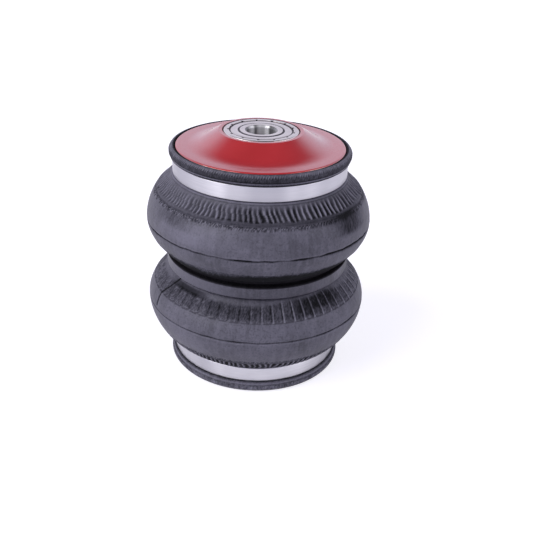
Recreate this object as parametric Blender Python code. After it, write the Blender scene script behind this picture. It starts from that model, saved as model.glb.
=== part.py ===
"""Double-convolution air suspension spring for a bag-over-strut leg, standing free at its relaxed height.

Metres, +Z up. The origin is on the spring's axis, on the lower plate's underside.
The strut body enters the lower plate's bore and its rod leaves through the ball bearing in the top plate.
Everything but the air port, the balls and the cage is a solid of revolution, so most pieces are outlines of
(radius, height) points turned about Z. Heights in an outline are measured from the piece's own datum, where
its object is placed.
"""

import math

import bmesh
import bpy

# Whole spring
FREE_HEIGHT = 0.1625  # lower plate's underside to the top plate's rim face
CLEARANCE = 0.0003  # left between pieces that touch
TURNED_SIDES = 36  # facets round the large pieces
SMALL_SIDES = 24  # facets round the bearing and the seals

# Rim of both end plates, which the rubber is clamped on
END_PLATE_RADIUS = 0.0586
FLANGE_THICKNESS = 0.0055
FLANGE_OVERHANG = 0.0033  # flange beyond the land that the rubber is clamped on
FLANGE_CHAMFER = 0.0008
SKIRT_WALL = 0.0043
SKIRT_CHAMFER = 0.0010
GROOVE_COUNT = 2
GROOVE_DEPTH = 0.0010
GROOVE_WIDTH = 0.0022

# Crimped bands
BAND_FROM_FACE = 0.0086  # plate's face to the band's near edge
BAND_HEIGHT = 0.0100
BAND_THICKNESS = 0.0013
BAND_EDGE_ROUND = 0.0004

# Bellows
BELLOWS_WALL = 0.0040
CLAMPED_WALL = 0.0034  # rubber squeezed between a plate and its band
LIP_WIDEST_FROM_FACE = 0.0042
LIP_TOP_WIDTH = 0.0017
LIP_FOOT_INSET = 0.0016  # lip's foot, beside the band, inside its widest radius
WAIST_RADIUS = 0.0621  # rubber under the girdle ring, outside
CONVOLUTION_DEPTH = 0.0170  # crown beyond the waist
CROWN_FROM_MIDDLE = 0.0302  # height of each crown above or below the girdle ring's middle
SHOULDER_FULLNESS = 0.645  # from a crown to its band: 1 is a cosine, less is rounder
WAIST_FULLNESS = 0.839  # from a crown to the girdle ring
SHOULDER_STEPS = 6
WAIST_STEPS = 5

# Girdle ring
GIRDLE_HEIGHT = 0.0089
GIRDLE_THICKNESS = 0.0029
GIRDLE_EDGE_ROUND = 0.0006
GIRDLE_ROOM = 0.0009  # rubber's straight waist beyond the ring, at each side

# Ball bearing, 20 x 52 x 15
BEARING_BORE_RADIUS = 0.0100
BEARING_OUTER_RADIUS = 0.0260
BEARING_WIDTH = 0.0150
BEARING_EDGE_CHAMFER = 0.0010
BALL_COUNT = 7
BALL_RATIO = 0.595  # ball diameter over the radial room between bore and outside
SHOULDER_RATIO = 0.61  # ball centre to the rings' shoulders, radially, over the ball's radius
CAGE_RATIO = 0.71  # cage's wall over the ball's radius
RACE_STEPS = 4
SHIELD_THICKNESS = 0.0005
SHIELD_RECESS = 0.0007  # shield below the rings' faces
SHIELD_SEAT = 0.0012  # outer ring's counterbore beyond its shoulder
CAGE_FINGER_HEIGHT = 0.0024  # fingers above the balls' centres

# Top plate
BOSS_HEIGHT = 0.0097  # boss round the bearing above the rim face
BEARING_PROUD = 0.0004
BOSS_RIM = 0.0012  # flat ring round the bearing
CONE_RUN = 0.0175  # from the boss's rim out to the foot of the cone
CONE_FOOT_ROUND = 0.0120
BOSS_EDGE_ROUND = 0.0008
PLATE_THICKNESS = 0.0060
POCKET_WALL = 0.0047
POCKET_SHOULDER = 0.0030  # ledge under the bearing's outer ring
POCKET_RELIEF = 0.0015  # below the ledge, clear of the inner ring
ROD_HUB_HEIGHT = 0.0082  # web that the rod's seal sits in
ROD_SEAL_SECTION = 0.00265
ROD_SEAL_SQUEEZE = 0.0002  # seal inside the rod's radius, when free

# Lower plate
WEB_THICKNESS = 0.0070
STRUT_RADIUS = 0.0255  # strut body that the plate slides onto
HUB_WALL = 0.0077
HUB_HEIGHT = 0.0200
STRUT_CHAMFER = 0.0012
STRUT_SEAL_SECTION = 0.0035
STRUT_SEAL_SQUEEZE = 0.0003
STRUT_SEAL_INSET = 0.0058  # each seal's middle from the hub's nearer end
SEAL_SIDES = 6

# Air port, a tapered pipe thread's tapping hole at the back of the lower plate
PORT_RADIUS = 0.0056
PORT_TAPER = 0.0004
PORT_BOSS_WALL = 0.0024
PORT_BOSS_HEIGHT = 0.0120
SPOT_FACE_WALL = 0.0032  # spot face beyond the port
SPOT_FACE_DEPTH = 0.0010
PORT_SIDES = 20

# Colours, as (red, green, blue), roughness and metallic
FINISHES = {
    "red_coating": ((0.42, 0.03, 0.04), 0.35, 0.3),
    "band_aluminium": ((0.62, 0.61, 0.66), 0.4, 1.0),
    "bellows_rubber": ((0.035, 0.034, 0.045), 0.6, 0.0),
    "girdle_black": ((0.05, 0.05, 0.06), 0.45, 0.2),
    "bearing_steel": ((0.62, 0.6, 0.63), 0.25, 1.0),
    "cage_polymer": ((0.25, 0.2, 0.1), 0.5, 0.0),
    "seal_rubber": ((0.012, 0.012, 0.013), 0.5, 0.0),
}

# Values worked out from those above
LAND_RADIUS = END_PLATE_RADIUS - FLANGE_OVERHANG
SKIRT_END = BAND_FROM_FACE + BAND_HEIGHT
CLAMPED_INNER = LAND_RADIUS + CLEARANCE
CLAMPED_OUTER = CLAMPED_INNER + CLAMPED_WALL
SHOULDER_FROM_FACE = SKIRT_END + CLEARANCE
CROWN_RADIUS = WAIST_RADIUS + CONVOLUTION_DEPTH
POCKET_RADIUS = BEARING_OUTER_RADIUS + CLEARANCE
BEARING_TOP = BOSS_HEIGHT + BEARING_PROUD
BEARING_MIDDLE = BEARING_TOP - BEARING_WIDTH / 2
POCKET_FLOOR = BEARING_TOP - BEARING_WIDTH - CLEARANCE
SHIELD_INNER_FACE = BEARING_WIDTH / 2 - SHIELD_RECESS - SHIELD_THICKNESS  # from the bearing's middle
CAGE_FLOOR = SHIELD_INNER_FACE - CLEARANCE
BALL_RADIUS = BALL_RATIO * (BEARING_OUTER_RADIUS - BEARING_BORE_RADIUS) / 2
BALL_POCKET = BALL_RADIUS + CLEARANCE
BALL_PITCH_RADIUS = (BEARING_BORE_RADIUS + BEARING_OUTER_RADIUS) / 2
RACE_SHOULDER = SHOULDER_RATIO * BALL_RADIUS
CAGE_WALL = CAGE_RATIO * BALL_RADIUS
ROD_RADIUS = BEARING_BORE_RADIUS
STRUT_BORE = STRUT_RADIUS + CLEARANCE
HUB_RADIUS = STRUT_BORE + HUB_WALL
STRUT_SEAL_HEIGHTS = (STRUT_SEAL_INSET, HUB_HEIGHT - STRUT_SEAL_INSET)
PORT_FROM_AXIS = (HUB_RADIUS + LAND_RADIUS - SKIRT_WALL) / 2


def clear_scene():
    for item in list(bpy.data.objects):
        bpy.data.objects.remove(item)


def make_finishes():
    for name, (colour, roughness, metallic) in FINISHES.items():
        material = bpy.data.materials.new(name)
        material.use_nodes = True
        shader = material.node_tree.nodes["Principled BSDF"]
        shader.inputs["Base Color"].default_value = (*colour, 1.0)
        shader.inputs["Roughness"].default_value = roughness
        shader.inputs["Metallic"].default_value = metallic


def make_datum(name, height, parent=None):
    """An empty on the axis, which a group of pieces rides on."""
    datum = bpy.data.objects.new(name, None)
    bpy.context.scene.collection.objects.link(datum)
    datum.parent = parent
    datum.location.z = height - (parent.matrix_world.translation.z if parent else 0.0)
    bpy.context.view_layer.update()
    return datum


def place(name, bm, finish, datum, height=0.0, sharp_angle=35.0):
    """Makes an object from a bmesh, at a height above its datum."""
    bmesh.ops.recalc_face_normals(bm, faces=bm.faces)
    mesh = bpy.data.meshes.new(name)
    bm.to_mesh(mesh)
    bm.free()
    mesh.shade_smooth()
    mesh.set_sharp_from_angle(angle=math.radians(sharp_angle))
    mesh.materials.append(bpy.data.materials[finish])
    piece = bpy.data.objects.new(name, mesh)
    bpy.context.scene.collection.objects.link(piece)
    piece.parent = datum
    piece.location.z = height
    return piece


def turned(outline, sides):
    """A closed outline of (radius, height) points, turned a full circle about Z."""
    bm = bmesh.new()
    corners = [bm.verts.new((radius, 0.0, height)) for radius, height in outline]
    edges = [bm.edges.new((corners[i - 1], corners[i])) for i in range(len(corners))]
    bmesh.ops.spin(
        bm,
        geom=corners + edges,
        cent=(0.0, 0.0, 0.0),
        axis=(0.0, 0.0, 1.0),
        angle=math.tau,
        steps=sides,
        use_merge=True,
    )
    return bm


def rounded(before, corner, after, radius, steps=3):
    """The points of a fillet at a corner, or of a chamfer when steps is 1."""
    to_before = (before[0] - corner[0], before[1] - corner[1])
    to_after = (after[0] - corner[0], after[1] - corner[1])
    length_before, length_after = math.hypot(*to_before), math.hypot(*to_after)
    unit_before = (to_before[0] / length_before, to_before[1] / length_before)
    unit_after = (to_after[0] / length_after, to_after[1] / length_after)
    between = math.acos(unit_before[0] * unit_after[0] + unit_before[1] * unit_after[1])
    setback = min(radius / math.tan(between / 2), 0.45 * length_before, 0.45 * length_after)
    radius = setback * math.tan(between / 2)
    start = (corner[0] + unit_before[0] * setback, corner[1] + unit_before[1] * setback)
    end = (corner[0] + unit_after[0] * setback, corner[1] + unit_after[1] * setback)
    middle = ((start[0] + end[0]) / 2, (start[1] + end[1]) / 2)
    reach = math.hypot(radius, setback)
    share = reach / math.hypot(middle[0] - corner[0], middle[1] - corner[1])
    centre = (
        corner[0] + (middle[0] - corner[0]) * share,
        corner[1] + (middle[1] - corner[1]) * share,
    )
    first = math.atan2(start[1] - centre[1], start[0] - centre[0])
    turn = math.atan2(end[1] - centre[1], end[0] - centre[0]) - first
    turn = (turn + math.pi) % math.tau - math.pi
    angles = [first + turn * step / steps for step in range(steps + 1)]
    return [(centre[0] + radius * math.cos(a), centre[1] + radius * math.sin(a)) for a in angles]


def ring_outline(inner, outer, low, high, edge):
    """A band's cross-section, chamfered on its two outer edges."""
    return [
        (inner, low),
        (outer - edge, low),
        (outer, low + edge),
        (outer, high - edge),
        (outer - edge, high),
        (inner, high),
    ]


def land_grooves():
    """Grooves that bite the rubber, from the flange to the skirt's end, as (radius, depth from the face)."""
    land = SKIRT_END - FLANGE_THICKNESS
    line = []
    for groove in range(GROOVE_COUNT):
        middle = FLANGE_THICKNESS + land * (groove + 1) / (GROOVE_COUNT + 1)
        line += [
            (LAND_RADIUS, middle - GROOVE_WIDTH / 2),
            (LAND_RADIUS - GROOVE_DEPTH, middle),
            (LAND_RADIUS, middle + GROOVE_WIDTH / 2),
        ]
    return line


def rim_outline():
    """The rim of an end plate from its face to the inside of its skirt, as (radius, depth from the face)."""
    skirt_inner = LAND_RADIUS - SKIRT_WALL
    return [
        (END_PLATE_RADIUS - FLANGE_CHAMFER, 0.0),
        (END_PLATE_RADIUS, FLANGE_CHAMFER),
        (END_PLATE_RADIUS, FLANGE_THICKNESS),
        (LAND_RADIUS, FLANGE_THICKNESS),
        *land_grooves(),
        (LAND_RADIUS, SKIRT_END - SKIRT_CHAMFER),
        (LAND_RADIUS - SKIRT_CHAMFER, SKIRT_END),
        (skirt_inner, SKIRT_END),
    ]


def seal_groove(bore, section, inner_radius, middle):
    """A rectangular groove in a bore, and the O-ring's centre radius."""
    half = section / 2 + CLEARANCE
    floor = inner_radius + section + CLEARANCE
    line = [
        (bore, middle - half),
        (floor, middle - half),
        (floor, middle + half),
        (bore, middle + half),
    ]
    return line, inner_radius + section / 2


def make_seal(name, centre_radius, section, height, datum):
    outline = [
        (
            centre_radius + section / 2 * math.cos(math.tau * side / SEAL_SIDES),
            section / 2 * math.sin(math.tau * side / SEAL_SIDES),
        )
        for side in range(SEAL_SIDES)
    ]
    place(name, turned(outline, SMALL_SIDES), "seal_rubber", datum, height, 80.0)


def bulge(edge_radius, height, fullness, steps):
    """Half a convolution from its crown to an edge, as (radius, distance from the crown, outward normal).

    Steps grow shorter towards the edge, where the rubber turns most.
    """

    def point(step):
        along = math.sin(math.pi / 2 * min(step, 1.0))
        depth = CROWN_RADIUS - edge_radius
        swell = max(math.cos(math.pi / 2 * along), 0.0)
        return edge_radius + depth * swell**fullness, height * along

    line = []
    reach = 0.5 / steps
    for number in range(steps + 1):
        step = number / steps
        radius, distance = point(step)
        before, after = point(max(step - reach, 0.0)), point(min(step + reach, 1.0))
        if number == 0:
            normal = (1.0, 0.0)
        else:
            length = math.hypot(after[0] - before[0], after[1] - before[1])
            normal = ((after[1] - before[1]) / length, (before[0] - after[0]) / length)
        line.append((radius, distance, normal))
    return line


def bellows_half():
    """One convolution from its lip to the waist, heights from the waist: outer face down, inner face up."""
    face = FREE_HEIGHT / 2
    lip_inner = END_PLATE_RADIUS + CLEARANCE
    lip_outer = lip_inner + BELLOWS_WALL
    lip_face = face - CLEARANCE
    shoulder = face - SHOULDER_FROM_FACE
    waist = GIRDLE_HEIGHT / 2 + GIRDLE_ROOM
    band_edge = face - BAND_FROM_FACE + CLEARANCE
    upper = bulge(CLAMPED_OUTER, shoulder - CROWN_FROM_MIDDLE, SHOULDER_FULLNESS, SHOULDER_STEPS)
    lower = bulge(WAIST_RADIUS, CROWN_FROM_MIDDLE - waist, WAIST_FULLNESS, WAIST_STEPS)
    outer = [
        (lip_inner + LIP_TOP_WIDTH, lip_face),
        (lip_outer, face - LIP_WIDEST_FROM_FACE),
        (lip_outer - LIP_FOOT_INSET, band_edge),
        (CLAMPED_OUTER, band_edge),
        *[(radius, CROWN_FROM_MIDDLE + rise) for radius, rise, _ in reversed(upper)],
        *[(radius, CROWN_FROM_MIDDLE - drop) for radius, drop, _ in lower[1:]],
        (WAIST_RADIUS, CLEARANCE / 2),
    ]
    ledge = face - FLANGE_THICKNESS - CLEARANCE
    inner = [
        (WAIST_RADIUS - BELLOWS_WALL, CLEARANCE / 2),
        (WAIST_RADIUS - BELLOWS_WALL, waist),
        *[
            (r - BELLOWS_WALL * n[0], CROWN_FROM_MIDDLE - z + BELLOWS_WALL * n[1])
            for r, z, n in reversed(lower[1:])
        ],
        *[
            (r - BELLOWS_WALL * n[0], CROWN_FROM_MIDDLE + z - BELLOWS_WALL * n[1])
            for r, z, n in upper
        ],
        (CLAMPED_INNER, shoulder),
        (CLAMPED_INNER, ledge),
        (lip_inner, ledge),
        (lip_inner, lip_face),
    ]
    return outer + inner


def make_convolution(name, datum, side):
    """Half of the bellows, which is one moulding: the two meet under the girdle ring, a clearance apart."""
    middle = FREE_HEIGHT / 2 - datum.matrix_world.translation.z
    outline = [(radius, side * height) for radius, height in bellows_half()]
    place(name, turned(outline, TURNED_SIDES), "bellows_rubber", datum, middle, 40.0)


def make_girdle_ring(datum):
    inner = WAIST_RADIUS + CLEARANCE
    half = GIRDLE_HEIGHT / 2
    outline = ring_outline(inner, inner + GIRDLE_THICKNESS, -half, half, GIRDLE_EDGE_ROUND)
    place("girdle_ring", turned(outline, TURNED_SIDES), "girdle_black", datum)


def make_crimp_band(name, datum, low):
    inner = CLAMPED_OUTER + CLEARANCE
    outline = ring_outline(inner, inner + BAND_THICKNESS, low, low + BAND_HEIGHT, BAND_EDGE_ROUND)
    place(name, turned(outline, TURNED_SIDES), "band_aluminium", datum)


def make_top_plate(datum):
    """Dished plate with a bearing pocket in its boss and a seal for the strut's rod below it."""
    boss_outer = POCKET_RADIUS + BOSS_RIM
    foot = boss_outer + CONE_RUN
    hub_outer = POCKET_RADIUS + POCKET_WALL
    cone_top = (boss_outer, BOSS_HEIGHT)
    cone_foot = (foot, 0.0)
    rim_face = (END_PLATE_RADIUS - FLANGE_CHAMFER, 0.0)
    under_foot = (foot, -PLATE_THICKNESS)
    rise = BOSS_HEIGHT * (foot - hub_outer) / CONE_RUN
    relief_floor = POCKET_FLOOR - POCKET_RELIEF
    hub_floor = relief_floor - ROD_HUB_HEIGHT
    rod_bore = ROD_RADIUS + CLEARANCE
    groove_middle = (relief_floor + hub_floor) / 2
    seal_inner = ROD_RADIUS - ROD_SEAL_SQUEEZE
    groove, seal_radius = seal_groove(rod_bore, ROD_SEAL_SECTION, seal_inner, groove_middle)
    rim = [(radius, -depth) for radius, depth in rim_outline()]
    skirt_inner = LAND_RADIUS - SKIRT_WALL
    outline = [
        *rim,
        (skirt_inner, -PLATE_THICKNESS),
        under_foot,
        (hub_outer, rise - PLATE_THICKNESS),
        (hub_outer, hub_floor),
        (rod_bore, hub_floor),
        *groove,
        (rod_bore, relief_floor),
        (POCKET_RADIUS - POCKET_SHOULDER, relief_floor),
        (POCKET_RADIUS - POCKET_SHOULDER, POCKET_FLOOR),
        (POCKET_RADIUS, POCKET_FLOOR),
        (POCKET_RADIUS, BOSS_HEIGHT),
        *rounded((POCKET_RADIUS, BOSS_HEIGHT), cone_top, cone_foot, BOSS_EDGE_ROUND, 2),
        *rounded(cone_top, cone_foot, rim_face, CONE_FOOT_ROUND, 3),
    ]
    place("top_plate", turned(outline, TURNED_SIDES), "red_coating", datum)
    make_seal("rod_seal_ring", seal_radius, ROD_SEAL_SECTION, groove_middle, datum)


def cut_with(piece, cutter, operation):
    """A Boolean modifier with a helper solid that isn't part of the spring."""
    cutter.hide_render = True
    cutter.display_type = "WIRE"
    boolean = piece.modifiers.new(cutter.name, "BOOLEAN")
    boolean.operation = operation
    boolean.object = cutter


def port_tool(name, low_radius, high_radius, low, high, datum):
    """A tapered cylinder on the air port's axis."""
    bm = bmesh.new()
    bmesh.ops.create_cone(
        bm,
        cap_ends=True,
        segments=PORT_SIDES,
        radius1=low_radius,
        radius2=high_radius,
        depth=high - low,
    )
    tool = place(name, bm, "red_coating", datum, (low + high) / 2)
    tool.location.y = PORT_FROM_AXIS
    return tool


def make_lower_plate(datum):
    """Flat plate with a hub that slides onto the strut body on two O-rings, and the air port behind."""
    skirt_inner = LAND_RADIUS - SKIRT_WALL
    seal_inner = STRUT_RADIUS - STRUT_SEAL_SQUEEZE
    grooves = []
    for middle in STRUT_SEAL_HEIGHTS:
        groove, seal_radius = seal_groove(STRUT_BORE, STRUT_SEAL_SECTION, seal_inner, middle)
        grooves = [*reversed(groove), *grooves]
    outline = [
        *rim_outline(),
        (skirt_inner, WEB_THICKNESS),
        (HUB_RADIUS, WEB_THICKNESS),
        (HUB_RADIUS, HUB_HEIGHT),
        (STRUT_BORE, HUB_HEIGHT),
        *grooves,
        (STRUT_BORE, STRUT_CHAMFER),
        (STRUT_BORE + STRUT_CHAMFER, 0.0),
    ]
    plate = place("lower_plate", turned(outline, TURNED_SIDES), "red_coating", datum)
    boss_radius = PORT_RADIUS + PORT_BOSS_WALL
    boss_foot = WEB_THICKNESS / 2
    beyond = 2 * SPOT_FACE_DEPTH
    boss = port_tool("port_boss", boss_radius, boss_radius, boss_foot, PORT_BOSS_HEIGHT, datum)
    cut_with(plate, boss, "UNION")
    port_top = PORT_RADIUS - PORT_TAPER
    hole = port_tool("port_hole", PORT_RADIUS, port_top, -beyond, PORT_BOSS_HEIGHT + beyond, datum)
    cut_with(plate, hole, "DIFFERENCE")
    face_radius = PORT_RADIUS + SPOT_FACE_WALL
    spot = port_tool("port_spot_face", face_radius, face_radius, -beyond, SPOT_FACE_DEPTH, datum)
    cut_with(plate, spot, "DIFFERENCE")
    for number, middle in enumerate(STRUT_SEAL_HEIGHTS, 1):
        make_seal(f"strut_seal_ring_{number}", seal_radius, STRUT_SEAL_SECTION, middle, datum)


def race(shoulder_radius, outward):
    """A ball groove across a ring's shoulder, from its lower edge to its upper one."""
    reach = math.acos(abs(shoulder_radius - BALL_PITCH_RADIUS) / BALL_POCKET)
    line = []
    for step in range(RACE_STEPS + 1):
        angle = reach * (2 * step / RACE_STEPS - 1)
        radius = BALL_PITCH_RADIUS + outward * BALL_POCKET * math.cos(angle)
        line.append((radius, BALL_POCKET * math.sin(angle)))
    return line


def make_bearing_rings(outer_datum, inner_datum):
    half = BEARING_WIDTH / 2
    edge = BEARING_EDGE_CHAMFER
    outer_shoulder = BALL_PITCH_RADIUS + RACE_SHOULDER
    seat = outer_shoulder + SHIELD_SEAT
    seat_floor = SHIELD_INNER_FACE - CLEARANCE
    outer = [
        (seat, -half),
        (BEARING_OUTER_RADIUS - edge, -half),
        (BEARING_OUTER_RADIUS, edge - half),
        (BEARING_OUTER_RADIUS, half - edge),
        (BEARING_OUTER_RADIUS - edge, half),
        (seat, half),
        (seat, seat_floor),
        (outer_shoulder, seat_floor),
        *reversed(race(outer_shoulder, 1)),
        (outer_shoulder, -seat_floor),
        (seat, -seat_floor),
    ]
    place("bearing_outer_ring", turned(outer, SMALL_SIDES), "bearing_steel", outer_datum)
    inner_shoulder = BALL_PITCH_RADIUS - RACE_SHOULDER
    inner = [
        (BEARING_BORE_RADIUS + edge, -half),
        (inner_shoulder, -half),
        *race(inner_shoulder, -1),
        (inner_shoulder, half),
        (BEARING_BORE_RADIUS + edge, half),
        (BEARING_BORE_RADIUS, half - edge),
        (BEARING_BORE_RADIUS, edge - half),
    ]
    place("bearing_inner_ring", turned(inner, SMALL_SIDES), "bearing_steel", inner_datum)
    for name, side in (("bearing_shield_upper", 1), ("bearing_shield_lower", -1)):
        middle = side * (SHIELD_INNER_FACE + SHIELD_THICKNESS / 2)
        low, high = middle - SHIELD_THICKNESS / 2, middle + SHIELD_THICKNESS / 2
        shield_inner, shield_outer = inner_shoulder + CLEARANCE, seat - CLEARANCE
        shield = [
            (shield_inner, low),
            (shield_outer, low),
            (shield_outer, high),
            (shield_inner, high),
        ]
        place(name, turned(shield, SMALL_SIDES), "bearing_steel", outer_datum)


def make_balls_and_cage(datum):
    """Crown cage whose pockets are spheres a clearance larger than the balls."""
    inner, outer = BALL_PITCH_RADIUS - CAGE_WALL / 2, BALL_PITCH_RADIUS + CAGE_WALL / 2
    low, high = -CAGE_FLOOR, CAGE_FINGER_HEIGHT
    crown = [(inner, low), (outer, low), (outer, high), (inner, high)]
    cage = place("bearing_cage", turned(crown, SMALL_SIDES), "cage_polymer", datum)
    pockets = bmesh.new()
    for number in range(BALL_COUNT):
        angle = math.tau * number / BALL_COUNT
        centre = (BALL_PITCH_RADIUS * math.cos(angle), BALL_PITCH_RADIUS * math.sin(angle), 0.0)
        pocket = bmesh.ops.create_uvsphere(pockets, u_segments=10, v_segments=6, radius=BALL_POCKET)
        bmesh.ops.translate(pockets, verts=pocket["verts"], vec=centre)
        ball_mesh = bmesh.new()
        bmesh.ops.create_uvsphere(ball_mesh, u_segments=10, v_segments=6, radius=BALL_RADIUS)
        ball = place(f"bearing_ball_{number + 1}", ball_mesh, "bearing_steel", datum, 0.0, 80.0)
        ball.location.x, ball.location.y = centre[0], centre[1]
    cut_with(cage, place("cage_pockets", pockets, "cage_polymer", datum), "DIFFERENCE")


def main():
    clear_scene()
    make_finishes()
    lower_end = make_datum("lower_end", 0.0)
    waist = make_datum("waist", FREE_HEIGHT / 2, lower_end)
    upper_end = make_datum("upper_end", FREE_HEIGHT, waist)
    bearing_seat = make_datum("bearing_seat", FREE_HEIGHT + BEARING_MIDDLE, upper_end)
    bearing_turn = make_datum("bearing_turn", FREE_HEIGHT + BEARING_MIDDLE, upper_end)
    cage_turn = make_datum("cage_turn", FREE_HEIGHT + BEARING_MIDDLE, upper_end)
    make_lower_plate(lower_end)
    make_crimp_band("lower_crimp_band", lower_end, BAND_FROM_FACE)
    make_convolution("bellows_lower_convolution", lower_end, -1)
    make_girdle_ring(waist)
    make_convolution("bellows_upper_convolution", upper_end, 1)
    make_top_plate(upper_end)
    make_crimp_band("upper_crimp_band", upper_end, -BAND_FROM_FACE - BAND_HEIGHT)
    make_bearing_rings(bearing_seat, bearing_turn)
    make_balls_and_cage(cage_turn)


main()
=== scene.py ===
"""Looks of the double-convolution air spring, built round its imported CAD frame. Metres, +Z up, axis on Z."""

import math

import bmesh
import bpy
import numpy as np
from mathutils import Matrix, Vector


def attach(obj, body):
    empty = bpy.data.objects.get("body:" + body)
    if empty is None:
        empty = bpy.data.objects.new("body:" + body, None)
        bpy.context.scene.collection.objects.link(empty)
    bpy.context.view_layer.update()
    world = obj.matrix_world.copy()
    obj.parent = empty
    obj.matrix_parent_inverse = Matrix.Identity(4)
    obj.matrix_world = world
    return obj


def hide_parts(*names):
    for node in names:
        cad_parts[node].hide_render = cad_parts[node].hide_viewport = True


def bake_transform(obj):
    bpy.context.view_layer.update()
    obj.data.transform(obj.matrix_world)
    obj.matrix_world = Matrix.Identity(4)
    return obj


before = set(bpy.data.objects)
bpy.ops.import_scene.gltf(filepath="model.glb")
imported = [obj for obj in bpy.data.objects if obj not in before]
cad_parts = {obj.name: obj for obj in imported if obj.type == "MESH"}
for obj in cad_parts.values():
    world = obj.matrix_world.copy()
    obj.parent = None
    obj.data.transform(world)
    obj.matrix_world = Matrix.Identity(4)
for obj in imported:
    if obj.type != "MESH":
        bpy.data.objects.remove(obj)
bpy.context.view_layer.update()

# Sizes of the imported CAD
FREE_HEIGHT = 0.1625  # lower plate's underside to the top plate's rim face
CLEARANCE = 0.0003  # left between pieces that touch
END_PLATE_RADIUS = 0.0586
FLANGE_THICKNESS = 0.0055
FLANGE_OVERHANG = 0.0033  # flange beyond the land that the rubber is clamped on
SKIRT_WALL = 0.0043
LAND_GROOVES = 2
LAND_GROOVE_DEPTH = 0.0010
LAND_GROOVE_WIDTH = 0.0022
BAND_THICKNESS = 0.0013
BELLOWS_WALL = 0.0040
CLAMPED_WALL = 0.0034
WAIST_RADIUS = 0.0621
CONVOLUTION_DEPTH = 0.0170  # crown beyond the waist
CROWN_FROM_MIDDLE = 0.0302
SHOULDER_FULLNESS = 0.645  # from a crown to its band: 1 is a cosine, less is rounder
WAIST_FULLNESS = 0.839  # from a crown to the girdle ring
GIRDLE_HEIGHT = 0.0089
GIRDLE_THICKNESS = 0.0029
GIRDLE_ROOM = 0.0009  # rubber's straight waist beyond the ring, at each side
BOSS_HEIGHT = 0.0097
BEARING_PROUD = 0.0004
CONE_RUN = 0.0175
PLATE_THICKNESS = 0.0060
POCKET_WALL = 0.0047
POCKET_LEDGE = 0.0030  # under the bearing's outer ring
POCKET_RELIEF = 0.0015  # below the ledge, clear of the inner ring
ROD_HUB_HEIGHT = 0.0082
ROD_SEAL_SECTION = 0.00265
ROD_SEAL_SQUEEZE = 0.0002
BEARING_WIDTH = 0.0150
BEARING_OUTER = 0.0260
BEARING_BORE = 0.0100
BALL_RADIUS = 0.00476
RACE_SHOULDER = 0.0029  # balls' centres to the rings' shoulders, radially, rounded from the CAD's 0.0029036
SHIELD_COUNTERBORE = 0.0012  # beyond the outer ring's shoulder
SHIELD_ROOM = 0.0015  # rings' faces to the counterbore's floor
SHIELD_THICKNESS = 0.0005

# Sizes set against the photograph, where the CAD's are a little different
BAND_FROM_FACE = 0.0082  # CAD: 0.0086
BAND_HEIGHT = 0.0104  # CAD: 0.0100
BOSS_RIM = 0.0029  # flat ring round the bearing; CAD: 0.0012
CONE_FOOT_RUN = 0.0195  # from the pocket out to the foot of the cone; CAD: 0.0187
BOSS_BELOW_BEARING = 0.0001  # CAD: 0.0004
SHIELD_RECESS = 0.0002  # CAD: 0.0007

# Sizes worked out from those above
LAND_RADIUS = END_PLATE_RADIUS - FLANGE_OVERHANG
SKIRT_INNER = LAND_RADIUS - SKIRT_WALL
SKIRT_END = BAND_FROM_FACE + BAND_HEIGHT
CLAMPED_INNER = LAND_RADIUS + CLEARANCE
CLAMPED_OUTER = CLAMPED_INNER + CLAMPED_WALL
BAND_INNER = CLAMPED_OUTER + CLEARANCE
BAND_OUTER = BAND_INNER + BAND_THICKNESS
CROWN_RADIUS = WAIST_RADIUS + CONVOLUTION_DEPTH
GIRDLE_INNER = WAIST_RADIUS + CLEARANCE
GIRDLE_OUTER = GIRDLE_INNER + GIRDLE_THICKNESS
WAIST_HALF = GIRDLE_HEIGHT / 2 + GIRDLE_ROOM
SHOULDER_HEIGHT = FREE_HEIGHT / 2 - SKIRT_END - CLEARANCE - CROWN_FROM_MIDDLE
POCKET_RADIUS = BEARING_OUTER + CLEARANCE
HUB_RADIUS = POCKET_RADIUS + POCKET_WALL
BEARING_TOP = BOSS_HEIGHT + BEARING_PROUD
BEARING_HALF = BEARING_WIDTH / 2
BEARING_MIDDLE = FREE_HEIGHT + BEARING_TOP - BEARING_HALF
BALL_PITCH = (BEARING_BORE + BEARING_OUTER) / 2
BALL_POCKET = BALL_RADIUS + CLEARANCE
INNER_SHOULDER = BALL_PITCH - RACE_SHOULDER
OUTER_SHOULDER = BALL_PITCH + RACE_SHOULDER
SHIELD_SEAT = OUTER_SHOULDER + SHIELD_COUNTERBORE

# Places on the bellows, as distances from the crown
PLEATS_TOP = 0.0312
RING_GROOVE = 0.0207
NECK_COLLAR = 0.0316
NECK_HOLLOW = 0.0309
WAIST_STEP = 0.0119
WAIST_EDGE = 0.0124
VENT_MARKS = ((193.1, 0.0224), (349.6, 0.0216))  # with the angle in degrees before each
SPLICE_PATH = ((0.0035, 208.6), (0.0120, 208.4), (0.0177, 211.8), (0.0230, 214.8))  # with the angle after

# How deep the bellows' relief goes, and how much of it there is
PLEAT_DEPTH = 0.0013
SHOULDER_HOLLOW = 0.0012
RING_GROOVE_DEPTH = 0.00045
PARTING_DEPTH = 0.00070
SPLICE_DEPTH = 0.00050
VENT_DEPTH = 0.0004
PLEATS = 116
PLEAT_LEAN = 420.0  # radians of a pleat's wave for each metre up the shoulder
WAIST_LINES = 62
CORD_ENDS = 232  # short dashes round the lip
COLUMNS = 812  # vertices round the bellows

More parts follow.
